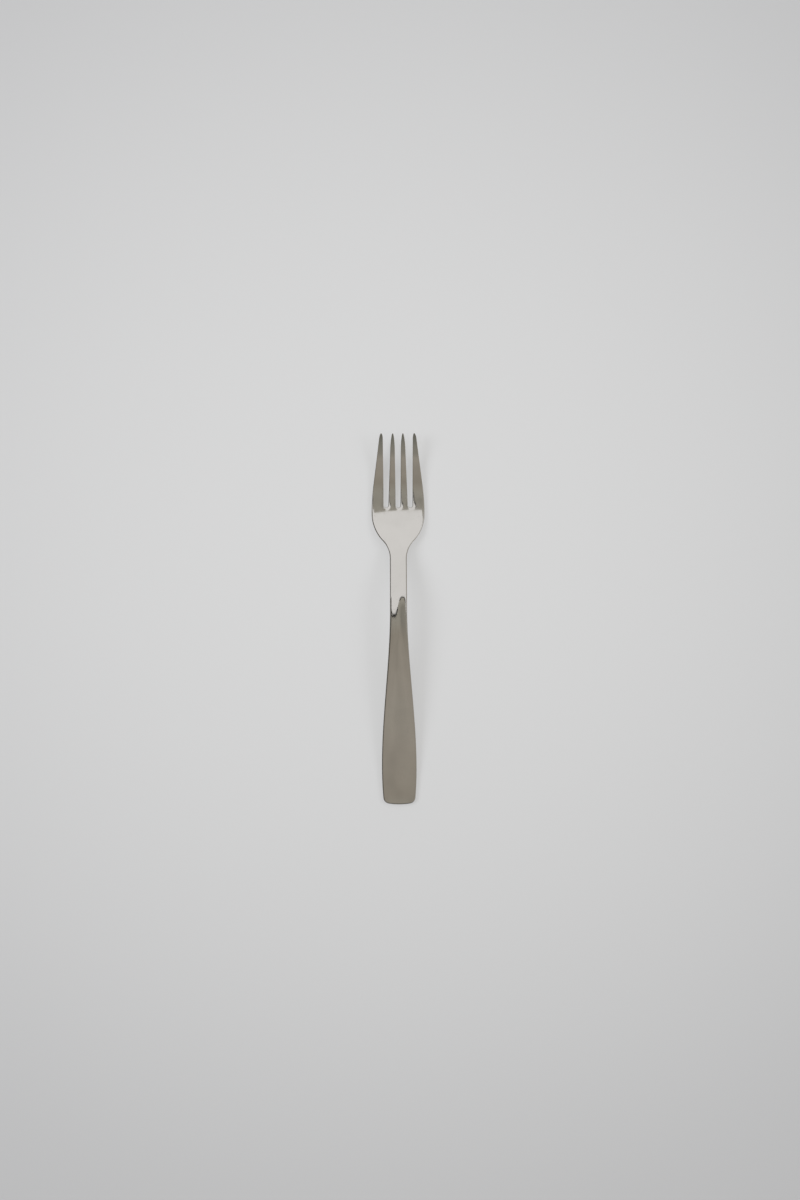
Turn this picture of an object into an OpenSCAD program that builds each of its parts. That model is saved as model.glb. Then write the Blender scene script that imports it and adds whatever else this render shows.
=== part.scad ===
// Pastry fork with four even tines, pressed from one piece of stainless steel.
// It lies on a table with its hollow side up and its tines along +Y.
// The origin is on the table, under the middle of the fork's length.
// A value that ends in _at is a distance along the fork from the end of the handle.

/* [Overall] */
// Length from the end of the handle to the points of the tines
overall_length = 150; // [135:1:165]
// Radius of the long edges of the handle, the neck and the head
edge_r = 0.55; // [0.1:0.05:0.6]
// Radius of the edges inside the slots
slot_edge_r = 0.35; // [0.1:0.05:0.5]

/* [Handle] */
// Width of the handle at its widest place
handle_width = 14.1; // [11:0.1:17]
// Distance of the widest place from the end of the handle
handle_widest_at = 15; // [10:1:30]
// Width that the sides would have at the very end without its round corners
handle_end_width = 12.6; // [10:0.1:14]
// Radius of the two corners of the end, seen from above
handle_corner_r = 2.6; // [1:0.1:4]
// Radius of the bowed end edge, seen from above
handle_end_r = 30; // [15:1:80]
// Thickness of the handle
handle_thickness = 1.8; // [1.2:0.1:3]
// How far the upper face of the handle curves down to its long edges, while its underside is flat
handle_crown = 0.25; // [0:0.05:0.4]

/* [Neck] */
// Width of the neck
neck_width = 6.9; // [4.5:0.1:9]
// Length of the even, narrow part of the neck
neck_length = 19.5; // [5:0.5:25]
// Thickness of the neck
neck_thickness = 2.4; // [1.6:0.1:4]
// How far both faces of the neck curve to its long edges
neck_crown = 0.45; // [0.1:0.05:0.6]
// Radius of the hollow curve that leads from the neck into the head
neck_fillet_r = 10.3; // [3:0.1:15]

/* [Head] */
// Width of the head at its widest place
head_width = 21.5; // [18:0.1:26]
// Distance of the widest place from the points of the tines
head_widest_from_tip = 32.1; // [26:0.1:38]
// Radius of the round shoulders of the head
shoulder_r = 16; // [12:0.1:30]
// Radius of the flatter curve from the widest place into the straight sides
head_side_r = 86; // [30:1:100]
// Thickness of the head at the roots of the slots
head_thickness = 1.5; // [1:0.1:2.5]
// How far the sides of the head rise above its middle
head_dish = 0.15; // [0:0.05:0.8]

/* [Tines] */
// Length of the straight sides of the slots
tine_length = 28.7; // [22:0.1:36]
// Width of each slot at its root
slot_width = 1.9; // [1.2:0.1:2.6]
// Width across the outer edges of the outer tines at their points
tip_span = 14.5; // [12:0.1:18]
// Width of an inner tine at its root
inner_root_width = 3; // [2:0.1:3.6]
// Width that an inner tine would have at its very end without its point
inner_tip_width = 1.5; // [0.8:0.05:2]
// Distance of an inner tine's point from the middle of the fork
inner_tip_offset = 2.05; // [1.5:0.05:3]
// Length over which an inner tine draws in to its point
inner_point_length = 6; // [1:0.5:10]
// Width that an outer tine would have at its very end without its point
outer_tip_width = 1.2; // [0.8:0.05:2]
// Length over which an outer tine draws in to its point
outer_point_length = 2; // [1:0.5:10]
// Thickness of the tines at their points
tip_thickness = 0.9; // [0.6:0.1:1.5]

/* [Side profile] */
// Height of the underside above the table at the crest of the arch
arch_height = 9; // [4:0.5:14]
// Distance of the crest from the points of the tines
crest_from_tip = 71; // [60:1:80]
// Distance from the points of the tines to the heel, where the head rests on the table
heel_from_tip = 30; // [24:0.5:40]
// Height of the underside above the table at the points of the tines
tip_lift = 6.5; // [2:0.5:12]

/* [Hidden] */

steel = [0.78, 0.77, 0.75];

handle_half = handle_width / 2;
handle_end_half = handle_end_width / 2;
neck_half = neck_width / 2;
head_half = head_width / 2;
tip_half = tip_span / 2;
slot_half = slot_width / 2;

// Places along the fork
root_at = overall_length - tine_length;
widest_at = overall_length - head_widest_from_tip;
crest_at = overall_length - crest_from_tip;
heel_at = overall_length - heel_from_tip;

// The neck flows into the head along two arcs that meet at this angle to the fork's axis
shoulder_turn = acos(1 - (head_half - neck_half) / (neck_fillet_r + shoulder_r));
neck_end_at = widest_at - (neck_fillet_r + shoulder_r) * sin(shoulder_turn);
neck_at = neck_end_at - neck_length;
shoulder_at = neck_end_at + neck_fillet_r * sin(shoulder_turn);

// The straight sides of the head run from the outer points and touch the side arc
side_rise = tip_half - head_half + head_side_r;
side_reach = norm([head_widest_from_tip, side_rise]);
side_turn = atan2(head_widest_from_tip, side_rise) - acos(head_side_r / side_reach);
straight_at = widest_at + head_side_r * sin(side_turn);

// The bowed end edge of the handle and its two corner arcs
corner_half = side_half(handle_corner_r) - handle_corner_r;
corner_at = handle_end_r - sqrt(pow(handle_end_r - handle_corner_r, 2) - pow(corner_half, 2));
bow_turn = asin(corner_half / (handle_end_r - handle_corner_r));
bow_at = handle_end_r * (1 - cos(bow_turn));
// Half the width of the small flat that closes the bowed end
end_flat_half = 0.6;

// A rounded edge takes at most this share of the thickness or width that it rounds
max_edge_share = 0.45;
// Share of its width and of its thickness that a tine keeps at the tip of its point
tip_width_share = 0.2;
tip_thickness_share = 0.45;
// A slot's root is cut through the bowl with this much to spare above and below
cut_margin = 2;
// The rounding of its edges is carried on past the two faces by this many of its own steps
rim_overrun = 3;
// Edge radius and tilt of the roots, which lie square to the rising middle of the head
root_r = min(slot_edge_r, max_edge_share * head_thickness);
root_tilt = atan2(core(root_at + slot_half, 0) - core(root_at - slot_half, 0), slot_width);

// Steps along and across the pressed shape
edge_steps = 3;
body_spans = 11;
tine_spans = 4;
end_steps = 8;
flare_steps = 5;
taper_steps = 22;
neck_steps = 10;
bowl_steps = 26;
tine_steps = 14;
point_steps = 7;
round_facets = 48;

function ease(t) = t * t * (3 - 2 * t);
function blend(from, to, from_at, to_at, at) =
    from + (to - from) * ease(min(1, max(0, (at - from_at) / (to_at - from_at))));
function steps(from, to, count) = [for (k = [0:count]) from + (to - from) * k / count];

// Half the width between the long sides, without the round end and the points
function side_half(at) =
    at < handle_widest_at
        ? handle_half - (handle_half - handle_end_half) * pow(1 - at / handle_widest_at, 2)
    : at < neck_end_at
        ? blend(handle_half, neck_half, handle_widest_at, neck_at, at)
    : at < shoulder_at
        ? neck_half + neck_fillet_r - sqrt(pow(neck_fillet_r, 2) - pow(at - neck_end_at, 2))
    : at < widest_at
        ? head_half - shoulder_r + sqrt(pow(shoulder_r, 2) - pow(widest_at - at, 2))
    : at < straight_at
        ? head_half - head_side_r + sqrt(pow(head_side_r, 2) - pow(at - widest_at, 2))
    : tip_half + (overall_length - at) * tan(side_turn);

// Half the width of the fork with the round end of its handle
function half_width(at) =
    at < bow_at
        ? max(end_flat_half, sqrt(at * (2 * handle_end_r - at)))
    : at < corner_at
        ? corner_half + sqrt(pow(handle_corner_r, 2) - pow(corner_at - at, 2))
    : side_half(at);

function thickness(at) =
    at < neck_at
        ? blend(handle_thickness, neck_thickness, handle_widest_at, neck_at, at)
    : at < root_at
        ? blend(neck_thickness, head_thickness, neck_at, root_at, at)
    : blend(head_thickness, tip_thickness, root_at, overall_length, at);

// How far a face curves to its long edges: up is 1 on the upper face and -1 on the underside
function crown(at, up) =
    at < neck_at
        ? blend(up > 0 ? handle_crown : 0, neck_crown, handle_widest_at, neck_at, at)
    : blend(neck_crown, 0, neck_end_at, root_at, at);

function dish(at) = blend(0, head_dish, neck_end_at, root_at, at);

// Height of the underside along the middle: over the arch, down to the heel and up to the points
function rise(at) =
    at < crest_at
        ? blend(0, arch_height, 0, crest_at, at)
    : at < heel_at
        ? blend(arch_height, 0, crest_at, heel_at, at)
    : tip_lift * pow((at - heel_at) / heel_from_tip, 2);

// Height of the middle of the metal, and the distance of a face from it, at a place across the fork
function across(at, x) = pow(x / side_half(at), 2);
function core(at, x) = rise(at) + thickness(at) / 2 + dish(at) * across(at, x);
function half_thickness(at, x, up) = thickness(at) / 2 - crown(at, up) * across(at, x);

// A quarter turn round an edge at x: inward is 1 on the left and -1 on the right
function edge_point(at, x, r, slim, inward, up, turn) =
    let (px = x + inward * r * (1 - cos(turn)))
    let (half = half_thickness(at, px, up) * slim - r * (1 - sin(turn)))
    [px, at - overall_length / 2, core(at, px) + up * half];

// One cross section from x0 to x1: up the left edge, over the top and back along the underside
function section(at, x0, x1, r0, r1, spans, slim) =
    let (limit = max_edge_share * min(x1 - x0, 2 * slim * half_thickness(at, max(-x0, x1), 1)))
    let (left_r = min(r0, limit))
    let (right_r = min(r1, limit))
    let (out = steps(0, 90, edge_steps))
    let (back = steps(90, 0, edge_steps))
    let (over = steps(x0 + left_r, x1 - right_r, spans))
    concat(
        [for (turn = out) edge_point(at, x0, left_r, slim, 1, 1, turn)],
        [for (k = [1:spans - 1]) edge_point(at, over[k], 0, slim, 1, 1, 0)],
        [for (turn = back) edge_point(at, x1, right_r, slim, -1, 1, turn)],
        [for (turn = out) edge_point(at, x1, right_r, slim, -1, -1, turn)],
        [for (k = [spans - 1:-1:1]) edge_point(at, over[k], 0, slim, 1, -1, 0)],
        [for (turn = back) edge_point(at, x0, left_r, slim, 1, -1, turn)]
    );

// A solid through a row of cross sections that have the same number of points
module loft(sections) {
    count = len(sections[0]);
    last = len(sections) - 1;
    walls = [
        for (k = [0:last - 1], i = [0:count - 1])
        let (a = k * count + i)
        let (b = k * count + (i + 1) % count)
        each [[a, a + count, b + count], [a, b + count, b]]
    ];
    near_end = [for (i = [0:count - 1]) i];
    far_end = [for (i = [count - 1:-1:0]) last * count + i];
    polyhedron([for (s = sections) each s], concat([near_end], walls, [far_end]), convexity = 4);
}

// Share of the thickness that is left where the end edge of the handle is rounded
function end_slim(at) =
    let (inside = edge_r - min(at, edge_r))
    1 - 2 * (edge_r - sqrt(edge_r * edge_r - inside * inside)) / thickness(at);

module body_zone(places) {
    loft([
        for (at = places)
        let (half = half_width(at))
        section(at, -half, half, edge_r, edge_r, body_spans, end_slim(at))
    ]);
}

// Share of a size that is left at a place on a point, which is half an ellipse
function point_share(at, length, least) =
    let (left = overall_length - at)
    left >= length ? 1 : max(least, sqrt(1 - pow(1 - left / length, 2)));

// A straight edge of a tine, from its place at the root to its place at the tip
function lean(root_x, tip_x, at) = root_x + (tip_x - root_x) * (at - root_at) / tine_length;

// A tine between its inner and outer edges, which are given as one pair for each place
module tine(places, edges, outer_edge_r, point_length) {
    loft([
        for (k = [0:len(places) - 1])
        let (at = places[k])
        let (middle = (edges[k][0] + edges[k][1]) / 2)
        let (half = (edges[k][1] - edges[k][0]) / 2 * point_share(at, point_length, tip_width_share))
        let (slim = point_share(at, tip_thickness, tip_thickness_share))
        section(at, middle - half, middle + half, slot_edge_r, outer_edge_r, tine_spans, slim)
    ]);
}

function tine_places(point_length) = concat(
    steps(root_at, overall_length - point_length, tine_steps),
    [for (k = [1:point_steps]) overall_length - point_length * pow(1 - k / point_steps, 2)]
);

module inner_tine() {
    places = tine_places(inner_point_length);
    edges = [
        for (at = places)
        [
            lean(slot_half, inner_tip_offset - inner_tip_width / 2, at),
            lean(slot_half + inner_root_width, inner_tip_offset + inner_tip_width / 2, at)
        ]
    ];
    tine(places, edges, slot_edge_r, inner_point_length);
}

module outer_tine() {
    places = tine_places(outer_point_length);
    edges = [
        for (at = places)
        [
            lean(slot_half + inner_root_width + slot_width, tip_half - outer_tip_width, at),
            side_half(at)
        ]
    ];
    tine(places, edges, edge_r, outer_point_length);
}

// Rounded, bowed end, widest near it, drawn in along a long taper
module handle() {
    end = [for (k = [0:end_steps]) corner_at * pow(k / end_steps, 2)];
    flare = steps(corner_at, handle_widest_at, flare_steps);
    taper = steps(handle_widest_at, neck_at, taper_steps);
    places = concat(end, [for (k = [1:flare_steps]) flare[k]], [for (k = [1:taper_steps]) taper[k]]);
    color(steel)
        body_zone(places);
}

module neck() {
    color(steel)
        body_zone(steps(neck_at, neck_end_at, neck_steps));
}

// The round root of a slot with its two rounded edges, as a solid to cut away
module slot_root() {
    half = head_thickness / 2;
    rim = [
        for (turn = steps(0, 90, edge_steps))
        [slot_half + root_r * (1 - cos(turn)), half - root_r * (1 - sin(turn))]
    ];
    past = rim[edge_steps] + rim_overrun * (rim[edge_steps] - rim[edge_steps - 1]);
    rings = concat([for (k = [0:edge_steps - 1]) rim[k]], [past]);
    cylinder(r = slot_half, h = 2 * (half + cut_margin), center = true, $fn = round_facets);
    for (up = [0, 1], k = [0:edge_steps - 1]) {
        low = rings[k];
        high = rings[k + 1];
        mirror([0, 0, up])
            translate([0, 0, low[1]])
                cylinder(r1 = low[0], r2 = high[0], h = high[1] - low[1], $fn = round_facets);
    }
}

// Shoulders and shallow dish, with the round roots of the three slots cut through
module bowl() {
    color(steel)
        difference() {
            body_zone(steps(neck_end_at, root_at, bowl_steps));
            for (x = [-1, 0, 1] * (inner_root_width + slot_width))
                translate([x, root_at - overall_length / 2, core(root_at, x)])
                    rotate([root_tilt, 0, 0])
                        slot_root();
        }
}

module left_outer_tine() {
    color(steel)
        mirror([1, 0, 0])
            outer_tine();
}

module left_inner_tine() {
    color(steel)
        mirror([1, 0, 0])
            inner_tine();
}

module right_inner_tine() {
    color(steel)
        inner_tine();
}

module right_outer_tine() {
    color(steel)
        outer_tine();
}

handle();
neck();
bowl();
left_outer_tine();
left_inner_tine();
right_inner_tine();
right_outer_tine();
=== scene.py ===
import math

import bpy
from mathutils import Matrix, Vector
from mathutils.bvhtree import BVHTree


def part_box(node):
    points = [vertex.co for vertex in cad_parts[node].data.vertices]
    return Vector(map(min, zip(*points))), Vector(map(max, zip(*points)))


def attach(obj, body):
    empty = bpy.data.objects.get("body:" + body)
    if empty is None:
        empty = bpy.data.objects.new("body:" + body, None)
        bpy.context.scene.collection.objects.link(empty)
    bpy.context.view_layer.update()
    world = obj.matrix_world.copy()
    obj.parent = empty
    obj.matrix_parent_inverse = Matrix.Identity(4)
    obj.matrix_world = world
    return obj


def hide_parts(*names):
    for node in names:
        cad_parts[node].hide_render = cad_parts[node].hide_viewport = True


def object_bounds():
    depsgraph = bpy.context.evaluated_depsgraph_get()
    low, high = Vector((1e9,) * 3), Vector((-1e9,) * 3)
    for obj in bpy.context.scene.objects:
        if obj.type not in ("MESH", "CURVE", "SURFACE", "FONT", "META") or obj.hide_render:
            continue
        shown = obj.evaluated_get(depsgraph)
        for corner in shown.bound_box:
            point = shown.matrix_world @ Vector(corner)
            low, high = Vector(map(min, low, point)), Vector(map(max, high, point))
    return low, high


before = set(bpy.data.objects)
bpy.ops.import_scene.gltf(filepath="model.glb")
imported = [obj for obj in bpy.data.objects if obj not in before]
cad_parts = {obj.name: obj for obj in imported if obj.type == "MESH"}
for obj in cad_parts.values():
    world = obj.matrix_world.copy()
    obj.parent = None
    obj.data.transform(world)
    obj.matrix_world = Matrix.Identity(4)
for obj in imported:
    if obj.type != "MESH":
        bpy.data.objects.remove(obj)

cad_low, cad_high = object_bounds()

# The fork: outline and thickness
# One strip of chrome-nickel stainless steel, rolled thinner towards the head and blanked to
# this outline. Lengths are in millimetres, and "at" runs from the end of the handle.
MM = 0.001
length = (cad_high.y - cad_low.y) / MM


def zone_end(node):
    """Where a zone of the fork ends, on its side towards the points."""
    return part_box(node)[1].y / MM + length / 2


neck_at = zone_end("handle")
neck_end_at = zone_end("neck")
root_at = zone_end("bowl")
handle_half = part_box("handle")[1].x / MM
neck_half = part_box("neck")[1].x / MM
head_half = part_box("bowl")[1].x / MM
slot_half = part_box("right_inner_tine")[0].x / MM
inner_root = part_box("right_inner_tine")[1].x / MM
outer_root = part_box("right_outer_tine")[0].x / MM
slot_x = (inner_root + outer_root) / 2
slot_bottom_at = root_at - slot_half

handle_widest_at = 15
handle_end_half = 6.3
handle_corner_r = 2.6
handle_end_r = 30
end_flat_half = 0.3
neck_fillet_r = 10.3
shoulder_r = 16
head_side_r = 86
head_widest_from_tip = 32.1
tip_half = 7.25
inner_tip_width = 1.5
inner_tip_offset = 2.05
inner_point_length = 6
outer_tip_width = 1.2
outer_point_length = 2
tip_flat_share = 0.1

handle_thickness = 1.8
neck_thickness = 2.4
head_thickness = 1.5
tip_thickness = 0.9
handle_crown = 0.25
neck_crown = 0.45

# An edge is a broad round that turns this far, then a tight corner of this share of its radius.
edge_r = 0.8
tine_edge_r = 0.45
tip_edge_r = 0.25
edge_turn = math.radians(40)
corner_share = 0.15
edge_width_share = math.sin(edge_turn) + corner_share * (1 - math.sin(edge_turn))
edge_depth_share = 1 - math.cos(edge_turn) + corner_share * math.cos(edge_turn)
edge_depth_limit = 0.9
slot_ease = 0.06
slot_ease_width = 1.4

widest_at = length - head_widest_from_tip
shoulder_turn = math.acos(1 - (head_half - neck_half) / (neck_fillet_r + shoulder_r))
shoulder_at = neck_end_at + neck_fillet_r * math.sin(shoulder_turn)
side_rise = tip_half - head_half + head_side_r
side_turn = math.atan2(head_widest_from_tip, side_rise) - math.acos(
    head_side_r / math.hypot(head_widest_from_tip, side_rise)
)
straight_at = widest_at + head_side_r * math.sin(side_turn)


def blend(start, stop, start_at, stop_at, at):
    t = min(1, max(0, (at - start_at) / (stop_at - start_at)))
    return start + (stop - start) * t * t * (3 - 2 * t)


def side_half(at):
    """Half the width between the long sides, without the round end and the points."""
    if at < handle_widest_at:
        return handle_half - (handle_half - handle_end_half) * (1 - at / handle_widest_at) ** 2
    if at < neck_end_at:
        return blend(handle_half, neck_half, handle_widest_at, neck_at, at)
    if at < shoulder_at:
        return neck_half + neck_fillet_r - math.sqrt(neck_fillet_r**2 - (at - neck_end_at) ** 2)
    if at < widest_at:
        return head_half - shoulder_r + math.sqrt(shoulder_r**2 - (widest_at - at) ** 2)
    if at < straight_at:
        return head_half - head_side_r + math.sqrt(head_side_r**2 - (at - widest_at) ** 2)
    return tip_half + (length - at) * math.tan(side_turn)


corner_half = side_half(handle_corner_r) - handle_corner_r
corner_at = handle_end_r - math.sqrt((handle_end_r - handle_corner_r) ** 2 - corner_half**2)
bow_at = handle_end_r * (1 - math.cos(math.asin(corner_half / (handle_end_r - handle_corner_r))))


def half_width(at):
    """Half the width of the fork with the bowed, round-cornered end of its handle."""
    if at < bow_at:
        return max(end_flat_half, math.sqrt(at * (2 * handle_end_r - at)))
    if at < corner_at:
        return corner_half + math.sqrt(max(0, handle_corner_r**2 - (corner_at - at) ** 2))
    return side_half(at)


def thickness(at):
    if at < neck_at:
        return blend(handle_thickness, neck_thickness, handle_widest_at, neck_at, at)
    if at < root_at:
        return blend(neck_thickness, head_thickness, neck_at, root_at, at)
    return blend(head_thickness, tip_thickness, root_at, length, at)


def crown(at, handle_part):
    """How far a face curves to its long edges, with the part of it that the handle has."""
    if at < neck_at:
        return blend(handle_part, neck_crown, handle_widest_at, neck_at, at)
    return blend(neck_crown, 0, neck_end_at, root_at, at)


def edge_radius(at):
    if at < root_at:
        return blend(edge_r, tine_edge_r, widest_at, root_at, at)
    return blend(tine_edge_r, tip_edge_r, root_at, length, at)


def edge_drop(inside, r):
    """How far a face falls at this distance inside the outline."""
    corner_r = corner_share * r
    if inside >= edge_width_share * r:
        return 0
    if inside >= corner_r * (1 - math.sin(edge_turn)):
        return r - math.sqrt(r**2 - (edge_width_share * r - inside) ** 2)
    return edge_depth_share * r - math.sqrt(corner_r**2 - (corner_r - inside) ** 2)


def slot_rounding(x, at):
    """How far the polishing belt has eased the upper face round the bottom of a slot."""
    nearest = min(math.hypot(x - middle, at - root_at) for middle in (-slot_x, 0, slot_x))
    return slot_ease * max(0, 1 - (nearest - slot_half) / slot_ease_width) ** 2


def lean(root_x, tip_x, at):
    """A straight edge of a tine between its places at the root and at the tip."""
    return root_x + (tip_x - root_x) * (at - root_at) / (length - root_at)


def tine_edges(at, outer):
    """The two edges, inner one first, of a tine on the right-hand side."""
    if at < root_at:
        round_half = math.sqrt(max(0, slot_half**2 - (root_at - at) ** 2))
        return (slot_x + round_half, side_half(at)) if outer else (round_half, slot_x - round_half)
    if outer:
        inner_x = lean(outer_root, tip_half - outer_tip_width, at)
        outer_x = side_half(at)
        point_length = outer_point_length
    else:
        inner_x = lean(slot_half, inner_tip_offset - inner_tip_width / 2, at)
        outer_x = lean(inner_root, inner_tip_offset + inner_tip_width / 2, at)
        point_length = inner_point_length
    past = max(0, 1 - (length - at) / point_length)
    half = (outer_x - inner_x) / 2 * max(tip_flat_share, math.sqrt(1 - past**2))
    middle = (inner_x + outer_x) / 2
    return middle - half, middle + half


# The fork: blank
# The flat blank with its edges rounded by tumbling and polishing. It is a grid of rows across
# the fork, in four strips that part at the slots into the four tines.
edge_layers = 6
middle_spans = 8
strip_columns = 2 * edge_layers + middle_spans
widest_edge_share = 0.4
row_spacing = 0.5
root_margin = 1.2
end_rows = 20
root_rows = 10
round_rows = 10
point_rows = 22


def strip_row(at, left, right):
    """Places across one strip, close together where its edges are rounded."""
    margin = min(edge_width_share * edge_radius(at), widest_edge_share * (right - left))
    turns = [math.radians(90 * k / edge_layers) for k in range(edge_layers)]
    layers = [margin * (1 - math.cos(turn)) for turn in turns]
    inside = right - left - 2 * margin
    middle = [margin + inside * k / middle_spans for k in range(middle_spans + 1)]
    return (
        [left + d for d in layers]
        + [left + d for d in middle]
        + [right - d for d in reversed(layers)]
    )


def spaced(start, stop, spacing):
    """Places after start, up to and with stop."""
    count = math.ceil((stop - start) / spacing)
    return [start + (stop - start) * k / count for k in range(1, count + 1)]


def closing_in(start, stop, count):
    """Places after start that draw together towards stop."""
    return [stop - (stop - start) * (1 - k / count) ** 2 for k in range(1, count + 1)]


flat = []
quads = []


def add_row(at, xs, row_before):
    """Add a row of points, with a quad between each two of them and the row before."""
    row = range(len(flat), len(flat) + len(xs))
    flat.extend((x, at) for x in xs)
    if row_before:
        quads.extend(
            (row_before[c], row_before[c + 1], row[c + 1], row[c]) for c in range(len(xs) - 1)
        )
    return row


body_places = [corner_at * (k / end_rows) ** 2 for k in range(end_rows + 1)]
body_places += spaced(corner_at, slot_bottom_at - root_margin, row_spacing)
body_places += closing_in(slot_bottom_at - root_margin, slot_bottom_at, root_rows)
body_row = None
for at in body_places:
    half = half_width(at)
    parting = slot_x / side_half(slot_bottom_at) * half
    strip_edges = (-half, -parting, 0, parting, half)
    xs = [-half]
    for left, right in zip(strip_edges, strip_edges[1:]):
        xs += strip_row(at, left, right)[1:]
    body_row = add_row(at, xs, body_row)

round_turns = [math.radians(90 * k / round_rows) for k in range(1, round_rows + 1)]
round_places = [root_at - slot_half * math.cos(turn) for turn in round_turns]
for strip, (side, outer) in enumerate(((-1, True), (-1, False), (1, False), (1, True))):
    point_length = outer_point_length if outer else inner_point_length
    tine_places = round_places + spaced(root_at, length - point_length, row_spacing)
    tine_places += closing_in(length - point_length, length, point_rows)
    first = strip * strip_columns
    tine_row = body_row[first : first + strip_columns + 1]
    for at in tine_places:
        left, right = sorted(side * x for x in tine_edges(at, outer))
        tine_row = add_row(at, strip_row(at, left, right), tine_row)

# An edge with a face on one side only is on the outline. A fence that stands along it tells how
# far inside the outline a point is.
edge_faces = {}
for quad in quads:
    for a, b in zip(quad, quad[1:] + quad[:1]):
        edge_faces.setdefault((min(a, b), max(a, b)), []).append((a, b))
outline = [found[0] for found in edge_faces.values() if len(found) == 1]
fence_points = [Vector((*flat[v], z)) for edge in outline for v in edge for z in (-1, 1)]
fence = BVHTree.FromPolygons(
    fence_points, [(4 * k, 4 * k + 1, 4 * k + 3, 4 * k + 2) for k in range(len(outline))]
)

top, underside, across, rim = [], [], [], []
for x, at in flat:
    outward = (x / side_half(at)) ** 2
    over = thickness(at) - crown(at, handle_crown) * outward - slot_rounding(x, at)
    under = crown(at, 0) * outward
    inside = fence.find_nearest(Vector((x, at, 0)))[3]
    r = min(edge_radius(at), edge_depth_limit * (over - under) / 2 / edge_depth_share)
    drop = edge_drop(inside, r)
    y = at - length / 2
    top.append((x * MM, y * MM, (over - drop) * MM))
    underside.append((x * MM, y * MM, (under + drop) * MM))
    across.append(outward)
    rim.append(max(0, 1 - inside / (edge_width_share * r)))

below = len(flat)
faces = quads + [tuple(v + below for v in reversed(quad)) for quad in quads]
faces += [(b, a, a + below, b + below) for a, b in outline]
blank_mesh = bpy.data.meshes.new("fork_blank")
blank_mesh.from_pydata(top + underside, [], faces)
blank_mesh.shade_smooth()
blank_mesh.attributes.new("across", "FLOAT", "POINT").data.foreach_set("value", across * 2)
blank_mesh.attributes.new("rim", "FLOAT", "POINT").data.foreach_set("value", rim * 2)
fork = bpy.data.objects.new("fork", blank_mesh)
bpy.context.collection.objects.link(fork)


# The fork: polished steel
# Chrome-nickel stainless steel, mopped to a bright finish. It mirrors the room a little softly,
# with fine lines along the fork, a slow ripple, faint handling marks and a few scratches.
def linear(hex_colour):
    parts = [int(hex_colour[k : k + 2], 16) / 255 for k in (1, 3, 5)]
    return [c / 12.92 if c <= 0.04045 else ((c + 0.055) / 1.055) ** 2.4 for c in parts] + [1]


def add_node(tree, kind, inputs, **settings):
    node = tree.nodes.new(kind)
    for name, value in settings.items():
        setattr(node, name, value)
    for key, value in inputs.items():
        if isinstance(value, bpy.types.NodeSocket):
            tree.links.new(value, node.inputs[key])
        else:
            node.inputs[key].default_value = value
    return node


# Real polishing lines and scratches are a few hundredths of a millimetre wide. They are drawn
# wider here, so that they show. Each kind of mark adds to the roughness, and the edges are satin.
clean_colour, marked_colour = "#D3D0CC", "#C1BEBA"
clean_roughness, marked_roughness = 0.05, 0.09
mark_size = 16
mark_from, mark_to = 0.35, 0.75
line_width, line_length, line_height = 0.3, 14, 0.0006
line_roughness = 0.02
edge_roughness = 0.14
scratch_width, scratch_length = 0.15, 9
scratch_turns = (14, -31, 68)
scratch_from, scratch_to = 0.74, 0.82
scratch_roughness = 0.1
ripple_size, ripple_height = 11, 0.004

steel = bpy.data.materials.new("polished_stainless_steel")
steel.use_nodes = True
tree = steel.node_tree
tree.nodes.clear()
place = add_node(tree, "ShaderNodeTexCoord", {}).outputs["Object"]
drawn_out = add_node(
    tree,
    "ShaderNodeMapping",
    {
        "Vector": place,
        "Scale": [1 / (size * MM) for size in (line_width, line_length, line_width)],
    },
).outputs["Vector"]
polish = add_node(
    tree, "ShaderNodeTexNoise", {"Vector": drawn_out, "Scale": 1, "Detail": 3, "Roughness": 0.6}
).outputs["Fac"]
marks = add_node(
    tree,
    "ShaderNodeTexNoise",
    {"Vector": place, "Scale": 1 / (mark_size * MM), "Detail": 4, "Roughness": 0.6},
).outputs["Fac"]
ripple = add_node(
    tree,
    "ShaderNodeTexNoise",
    {"Vector": place, "Scale": 1 / (ripple_size * MM), "Detail": 1, "Roughness": 0.4},
).outputs["Fac"]
steel_colour = add_node(
    tree,
    "ShaderNodeMix",
    {"Factor": marks, 6: linear(clean_colour), 7: linear(marked_colour)},
    data_type="RGBA",
).outputs[2]
roughness = add_node(
    tree,
    "ShaderNodeMapRange",
    {
        "Value": marks,
        "From Min": mark_from,
        "From Max": mark_to,
        "To Min": clean_roughness,
        "To Max": marked_roughness,
    },
).outputs["Result"]
streaks = add_node(
    tree,
    "ShaderNodeMapRange",
    {"Value": polish, "To Min": -line_roughness, "To Max": line_roughness},
).outputs["Result"]
edge = add_node(tree, "ShaderNodeAttribute", {}, attribute_name="rim").outputs["Fac"]
satin = add_node(
    tree, "ShaderNodeMapRange", {"Value": edge, "To Min": 0, "To Max": edge_roughness}
).outputs["Result"]
added = [streaks, satin]
for turn in scratch_turns:
    turned = add_node(
        tree,
        "ShaderNodeVectorRotate",
        {"Vector": place, "Angle": math.radians(turn)},
        rotation_type="Z_AXIS",
    ).outputs["Vector"]
    stretched = add_node(
        tree,
        "ShaderNodeMapping",
        {
            "Vector": turned,
            "Scale": [1 / (size * MM) for size in (scratch_width, scratch_length, scratch_length)],
        },
    ).outputs["Vector"]
    hairs = add_node(
        tree, "ShaderNodeTexNoise", {"Vector": stretched, "Scale": 1, "Detail": 0}
    ).outputs["Fac"]
    scratches = add_node(
        tree,
        "ShaderNodeMapRange",
        {
            "Value": hairs,
            "From Min": scratch_from,
            "From Max": scratch_to,
            "To Min": 0,
            "To Max": scratch_roughness,
        },
    ).outputs["Result"]
    added.append(scratches)
for layer in added:
    roughness = add_node(
        tree, "ShaderNodeMath", {0: roughness, 1: layer}, operation="ADD"
    ).outputs["Value"]
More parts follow.
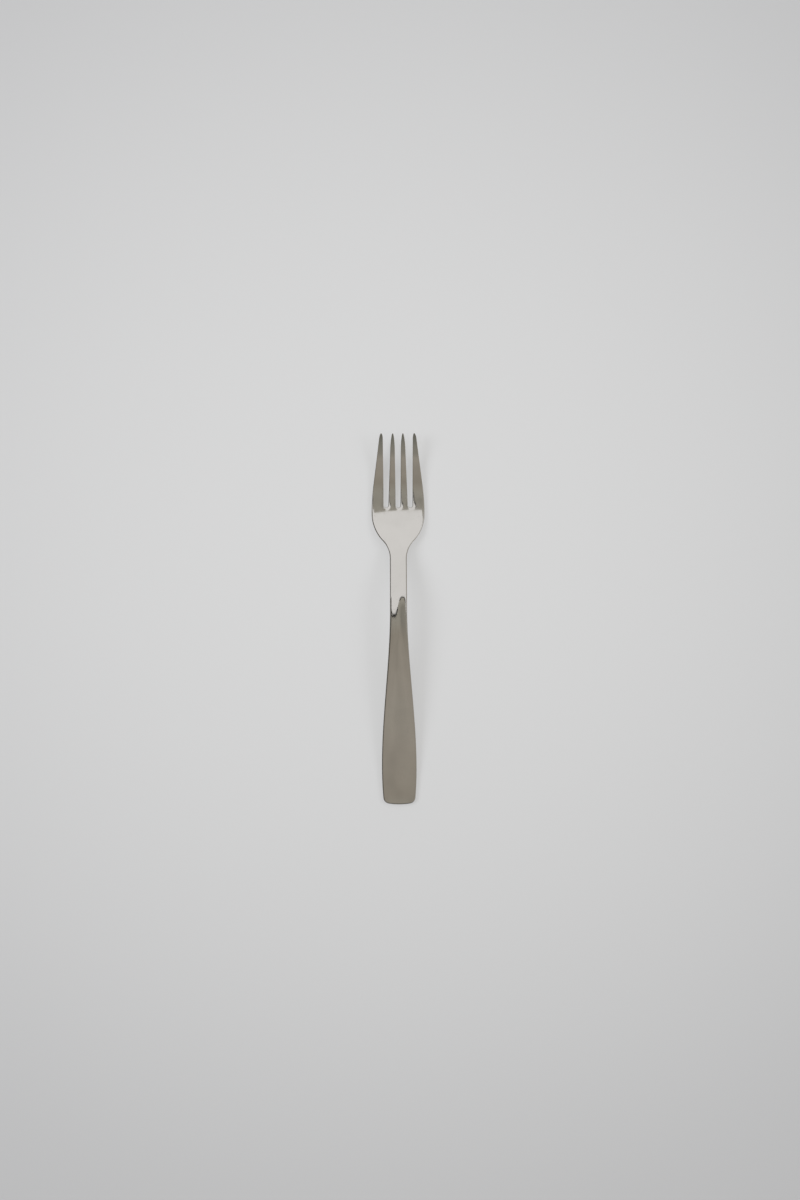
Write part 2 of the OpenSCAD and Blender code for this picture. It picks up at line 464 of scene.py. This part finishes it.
waves = add_node(
    tree, "ShaderNodeBump", {"Height": ripple, "Distance": ripple_height * MM, "Strength": 1}
).outputs["Normal"]
fine_lines = add_node(
    tree,
    "ShaderNodeBump",
    {"Height": polish, "Distance": line_height * MM, "Strength": 1, "Normal": waves},
).outputs["Normal"]
shader = add_node(
    tree,
    "ShaderNodeBsdfPrincipled",
    {"Base Color": steel_colour, "Metallic": 1, "Roughness": roughness, "Normal": fine_lines},
)
add_node(tree, "ShaderNodeOutputMaterial", {"Surface": shader.outputs["BSDF"]})

# The fork: press
# The die lifts the blank over the arch of the handle, brings the neck down to the heel and
# raises the tines and the sides of the head. The whole shape follows this one rule.
crest_from_tip = 71
heel_from_tip = 30
arch_height = 9
tip_lift = 6.5
tip_curve = 2
dish_depth = 0.15
press_sizes = {
    "End": -length / 2 * MM,
    "Crest": (length / 2 - crest_from_tip) * MM,
    "Heel": (length / 2 - heel_from_tip) * MM,
    "Tip": length / 2 * MM,
    "Neck End": (neck_end_at - length / 2) * MM,
    "Root": (root_at - length / 2) * MM,
    "Arch Height": arch_height * MM,
    "Tip Lift": tip_lift * MM,
    "Dish": dish_depth * MM,
}
press = bpy.data.node_groups.new("press", "GeometryNodeTree")
press.interface.new_socket("Geometry", in_out="OUTPUT", socket_type="NodeSocketGeometry")
press.interface.new_socket("Geometry", in_out="INPUT", socket_type="NodeSocketGeometry")
for name in press_sizes:
    press.interface.new_socket(name, in_out="INPUT", socket_type="NodeSocketFloat")
sizes = add_node(press, "NodeGroupInput", {}).outputs
position = add_node(press, "GeometryNodeInputPosition", {}).outputs["Position"]
along = add_node(press, "ShaderNodeSeparateXYZ", {"Vector": position}).outputs["Y"]
rises = []
for start, stop, rise in (
    ("End", "Crest", "Arch Height"),
    ("Crest", "Heel", "Arch Height"),
    ("Neck End", "Root", "Dish"),
):
    rises.append(
        add_node(
            press,
            "ShaderNodeMapRange",
            {0: along, 1: sizes[start], 2: sizes[stop], 3: 0, 4: sizes[rise]},
            interpolation_type="SMOOTHSTEP",
        ).outputs["Result"]
    )
climb, descent, dish = rises
arch = add_node(press, "ShaderNodeMath", {0: climb, 1: descent}, operation="SUBTRACT").outputs[0]
reach = add_node(
    press, "ShaderNodeMapRange", {0: along, 1: sizes["Heel"], 2: sizes["Tip"]}
).outputs["Result"]
curve = add_node(press, "ShaderNodeMath", {0: reach, 1: tip_curve}, operation="POWER").outputs[0]
profile = add_node(
    press,
    "ShaderNodeMath",
    {0: curve, 1: sizes["Tip Lift"], 2: arch},
    operation="MULTIPLY_ADD",
).outputs[0]
to_the_sides = add_node(
    press, "GeometryNodeInputNamedAttribute", {"Name": "across"}, data_type="FLOAT"
).outputs["Attribute"]
height = add_node(
    press, "ShaderNodeMath", {0: dish, 1: to_the_sides, 2: profile}, operation="MULTIPLY_ADD"
).outputs[0]
offset = add_node(press, "ShaderNodeCombineXYZ", {"Z": height}).outputs["Vector"]
pressed = add_node(
    press, "GeometryNodeSetPosition", {"Geometry": sizes["Geometry"], "Offset": offset}
).outputs["Geometry"]
realized = add_node(
    press, "GeometryNodeRealizeInstances", {"Geometry": pressed}
).outputs["Geometry"]
finished = add_node(
    press, "GeometryNodeSetMaterial", {"Geometry": realized, "Material": steel}
).outputs["Geometry"]
add_node(press, "NodeGroupOutput", {"Geometry": finished})

pressing = fork.modifiers.new("press", "NODES")
pressing.node_group = press
for item in press.interface.items_tree:
    if item.in_out == "INPUT" and item.name in press_sizes:
        pressing[item.identifier] = press_sizes[item.name]
pressed_fork = fork.evaluated_get(bpy.context.evaluated_depsgraph_get())
pressed_mesh = bpy.data.meshes.new_from_object(pressed_fork)
pressed_mesh.name = "fork"
fork.modifiers.clear()
fork.data = pressed_mesh
bpy.data.meshes.remove(blank_mesh)

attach(fork, "root")
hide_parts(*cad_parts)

# The floor
# A smooth, pale table top that the fork lies on, with a pool of light painted into its colour round
# the fork. Part of its tone is its own glow for the camera and for mirrored rays, so that the
# shadow on it stays faint, and far from the fork all of it is. From here on lengths are in metres.
floor_half = 20
# The first tone is the painted pool of light round the fork; the second is the floor's own tone
# away from it.
painted_pool_tone, floor_far = "#D9D9D9", "#BDBDBE"
floor_roughness = 0.8
pool_centre_y = 0.04
pool_reach = 0.3
pool_softness = 0.8
own_share = 0.62
own_from, own_to = 0.32, 0.6

floor_mesh = bpy.data.meshes.new("floor")
floor_mesh.from_pydata(
    [(x * floor_half, y * floor_half, 0) for x, y in ((-1, -1), (1, -1), (1, 1), (-1, 1))],
    [],
    [(0, 1, 2, 3)],
)
floor = bpy.data.objects.new("floor", floor_mesh)
bpy.context.collection.objects.link(floor)
table = bpy.data.materials.new("pale_table_top")
table.use_nodes = True
tree = table.node_tree
tree.nodes.clear()
place = add_node(tree, "ShaderNodeTexCoord", {}).outputs["Object"]
# Painted pool of light: the colour is lightest round a point a little towards the tines and fades
# out to the far tone.
spread = add_node(
    tree,
    "ShaderNodeVectorMath",
    {0: place, 1: (1 / pool_reach,) * 3, 2: (0, -pool_centre_y / pool_reach, 0)},
    operation="MULTIPLY_ADD",
).outputs[0]
spread_squared = add_node(
    tree, "ShaderNodeVectorMath", {0: spread, 1: spread}, operation="DOT_PRODUCT"
).outputs["Value"]
pool_fade = add_node(
    tree, "ShaderNodeMath", {0: spread_squared, 1: 1, 2: pool_softness}, operation="SMOOTH_MIN"
).outputs["Value"]
floor_and_pool_colour = add_node(
    tree,
    "ShaderNodeMix",
    {"Factor": pool_fade, 6: linear(painted_pool_tone), 7: linear(floor_far)},
    data_type="RGBA",
).outputs[2]
shader = add_node(
    tree, "ShaderNodeBsdfPrincipled", {"Base Color": floor_and_pool_colour, "Roughness": floor_roughness}
)
glow = add_node(tree, "ShaderNodeEmission", {"Color": floor_and_pool_colour, "Strength": 1})
reach = add_node(tree, "ShaderNodeVectorMath", {0: place}, operation="LENGTH").outputs["Value"]
own_tone = add_node(
    tree,
    "ShaderNodeMapRange",
    {"Value": reach, "From Min": own_from, "From Max": own_to, "To Min": own_share, "To Max": 1},
).outputs["Result"]
ray = add_node(tree, "ShaderNodeLightPath", {}).outputs
seen = ray["Is Camera Ray"]
for other in ("Is Glossy Ray", "Is Transmission Ray"):
    seen = add_node(
        tree, "ShaderNodeMath", {0: seen, 1: ray[other]}, operation="MAXIMUM"
    ).outputs[0]
share = add_node(tree, "ShaderNodeMath", {0: seen, 1: own_tone}, operation="MULTIPLY").outputs[0]
surface = add_node(
    tree,
    "ShaderNodeMixShader",
    {0: share, 1: shader.outputs["BSDF"], 2: glow.outputs["Emission"]},
)
add_node(tree, "ShaderNodeOutputMaterial", {"Surface": surface.outputs["Shader"]})
floor_mesh.materials.append(table)

# The overhead panel
# White diffuser cloth on a frame, lit from behind, which the neck and the bowl mirror. Its near
# edge has a round notch and a black hem, which is open in the middle and lies outside the cloth.
# A wing of the same cloth stands further back on the left.
panel_height = 1.0
panel_left, panel_right = -0.47, 1.1
panel_near, panel_far = -0.035, 1.4
panel_corner_r = 0.12
panel_columns = 160
notch_x = 0.29
notch_left_half = 0.325
notch_right_half = 0.24
notch_depth = 0.375
notch_squareness = 4
hem_front = 0.03
hem_side = 0.065
hem_gap = 0.035
hem_colour = "#141414"
hem_roughness = 0.9
wing_left, wing_near = -1.1, 0.35


def panel_edge(x):
    """The near edge of the panel, with its round left corner and the notch."""
    past = max(0, panel_left + panel_corner_r - x)
    corner = panel_corner_r - math.sqrt(panel_corner_r**2 - past**2)
    half = notch_left_half if x < notch_x else notch_right_half
    notch = notch_depth * math.exp(-abs((x - notch_x) / half) ** notch_squareness)
    return panel_near + corner + notch


panel_points = []
panel_faces = []
for column in range(panel_columns + 1):
    x = panel_left + (panel_right - panel_left) * column / panel_columns
    y = panel_edge(x)
    slope = (panel_edge(x + MM) - panel_edge(x - MM)) / (2 * MM) if column else 0
    hem = min(1, max(0, (abs(x) - hem_gap) / hem_gap)) / math.hypot(1, slope)
    hem_x = x + slope * hem * hem_side
    if x < 0:
        hem_x = min(hem_x, max(x, -hem_gap))
    panel_points += [
        (hem_x, y - hem * hem_front, panel_height),
        (x, y, panel_height),
        (x, panel_far, panel_height),
    ]
    if column:
        k = 3 * column
        panel_faces += [(k - 3, k, k + 1, k - 2), (k - 2, k + 1, k + 2, k - 1)]
wing = len(panel_points)
panel_points += [
    (wing_left, wing_near, panel_height),
    (panel_left, wing_near, panel_height),
    (panel_left, panel_far, panel_height),
    (wing_left, panel_far, panel_height),
]
panel_faces.append((wing, wing + 1, wing + 2, wing + 3))

panel_mesh = bpy.data.meshes.new("overhead_panel")
panel_mesh.from_pydata(panel_points, [], panel_faces)
panel = bpy.data.objects.new("overhead_panel", panel_mesh)
bpy.context.collection.objects.link(panel)
diffuser = bpy.data.materials.new("lit_diffuser_cloth")
diffuser.use_nodes = True
tree = diffuser.node_tree
tree.nodes.clear()
glow = add_node(tree, "ShaderNodeEmission", {"Color": (1, 1, 1, 1), "Strength": 1})
add_node(tree, "ShaderNodeOutputMaterial", {"Surface": glow.outputs["Emission"]})
panel_mesh.materials.append(diffuser)
hem_cloth = bpy.data.materials.new("black_hem_cloth")
hem_cloth.use_nodes = True
tree = hem_cloth.node_tree
tree.nodes.clear()
shader = add_node(
    tree,
    "ShaderNodeBsdfPrincipled",
    {"Base Color": linear(hem_colour), "Roughness": hem_roughness},
)
add_node(tree, "ShaderNodeOutputMaterial", {"Surface": shader.outputs["BSDF"]})
panel_mesh.materials.append(hem_cloth)
for column in range(panel_columns):
    panel_mesh.polygons[2 * column].material_index = 1
panel.visible_camera = False

# The side lamps
# Two round soft lamps on stands, which point at the fork and cast the faint shadows on both
# sides of it. The left one is the stronger.
lamp_width = 0.7
lamp_colour = "#F7FAFF"
lamp_out, lamp_ahead, lamp_up = 0.92, 0.1, 0.92
for name, side, radiance in (("left_lamp", -1, 7.6), ("right_lamp", 1, 4.1)):
    lamp_place = Vector((side * lamp_out, lamp_ahead, lamp_up))
    lamp_light = bpy.data.lights.new(name, "AREA")
    lamp_light.shape = "DISK"
    lamp_light.size = lamp_width
    lamp_light.color = linear(lamp_colour)[:3]
    lamp_light.energy = math.pi * radiance * math.pi * lamp_width**2 / 4
    lamp = bpy.data.objects.new(name, lamp_light)
    lamp.location = lamp_place
    lamp.rotation_euler = lamp_place.to_track_quat("Z", "Y").to_euler()
    lamp.visible_glossy = False
    bpy.context.collection.objects.link(lamp)

# The room
# A grey-brown ceiling, which the handle and the tines mirror, a little uneven. It is darker to
# the left, towards the near wall and in a soft shade beside the panel's notch, and a pale sweep
# runs up into it from the floor.
ceiling_from, ceiling_to = -0.6, 0
ceiling_tones = ((0, "#B0B0A6"), (0.36, "#AFA99F"), (0.7, "#A59F94"), (0.86, "#ADAAA0"))
shade_way = (0.25, -0.02, 0.97)
unevenness = 0.08
cloud_scale = 7
cloud_from, cloud_to = 0.3, 0.7
sweep_low, sweep_high = "#BDBDBE", "#C6C6C6"
sweep_top = 0.14
wall_top = 0.32

room = bpy.data.worlds.new("room")
room.use_nodes = True
tree = room.node_tree
tree.nodes.clear()
way = add_node(tree, "ShaderNodeTexCoord", {}).outputs["Generated"]
parts = add_node(tree, "ShaderNodeSeparateXYZ", {"Vector": way}).outputs
toward = add_node(
    tree,
    "ShaderNodeMapRange",
    {"Value": parts["Y"], "From Min": ceiling_from, "From Max": ceiling_to},
).outputs["Result"]
ceiling = add_node(tree, "ShaderNodeValToRGB", {"Fac": toward})
for stop, tone in ceiling_tones[1:-1]:
    ceiling.color_ramp.elements.new(stop)
for element, (stop, tone) in zip(ceiling.color_ramp.elements, ceiling_tones):
    element.position = stop
    element.color = linear(tone)
clouds = add_node(
    tree, "ShaderNodeTexNoise", {"Vector": way, "Scale": cloud_scale, "Detail": 2, "Roughness": 0.5}
).outputs["Fac"]
level = add_node(
    tree,
    "ShaderNodeMapRange",
    {
        "Value": clouds,
        "From Min": cloud_from,
        "From Max": cloud_to,
        "To Min": 1 - unevenness,
        "To Max": 1 + unevenness,
    },
).outputs["Result"]
off_shade = add_node(
    tree, "ShaderNodeVectorMath", {0: way, 1: shade_way}, operation="DISTANCE"
).outputs["Value"]
# Each dark part: what it follows, where it is darkest, where it ends and the light it leaves.
for follows, darkest_at, end_at, darkest in (
    (parts["X"], -0.5, -0.36, 0.3),
    (parts["Y"], -0.82, -0.45, 0.23),
    (parts["Y"], -0.48, -0.41, 0.78),
    (off_shade, 0.08, 0.24, 0.76),
):
    dark_part = add_node(
        tree,
        "ShaderNodeMapRange",
        {
            "Value": follows,
            "From Min": darkest_at,
            "From Max": end_at,
            "To Min": darkest,
            "To Max": 1,
        },
        interpolation_type="SMOOTHSTEP",
    ).outputs["Result"]
    level = add_node(
        tree, "ShaderNodeMath", {0: level, 1: dark_part}, operation="MULTIPLY"
    ).outputs[0]
shaded = add_node(
    tree, "ShaderNodeVectorMath", {0: ceiling.outputs["Color"], "Scale": level}, operation="SCALE"
).outputs["Vector"]
sweep = add_node(
    tree,
    "ShaderNodeMapRange",
    {"Value": parts["Z"], "From Min": 0, "From Max": sweep_top},
    interpolation_type="SMOOTHSTEP",
).outputs["Result"]
pale = add_node(
    tree,
    "ShaderNodeMix",
    {"Factor": sweep, 6: linear(sweep_low), 7: linear(sweep_high)},
    data_type="RGBA",
).outputs[2]
climbing = add_node(
    tree,
    "ShaderNodeMapRange",
    {"Value": parts["Z"], "From Min": sweep_top, "From Max": wall_top},
    interpolation_type="SMOOTHSTEP",
).outputs["Result"]
around = add_node(
    tree, "ShaderNodeMix", {"Factor": climbing, 6: pale, 7: shaded}, data_type="RGBA"
).outputs[2]
grey = add_node(tree, "ShaderNodeBackground", {"Color": around, "Strength": 1})
add_node(tree, "ShaderNodeOutputWorld", {"Surface": grey.outputs["Background"]})
bpy.context.scene.world = room

# The camera
# Straight above the fork, turned so that the tines lean a little to the left.
camera_height = 0.6776
camera_place = (0.0006, 0.0079)
camera_turn = math.radians(-0.26)
camera_data = bpy.data.cameras.new("camera")
camera_data.lens = 50
camera_data.sensor_width = 36
camera = bpy.data.objects.new("camera", camera_data)
camera.location = (*camera_place, camera_height)
camera.rotation_euler = (0, 0, camera_turn)
bpy.context.collection.objects.link(camera)
bpy.context.scene.camera = camera
bpy.context.scene.view_settings.view_transform = "Standard"
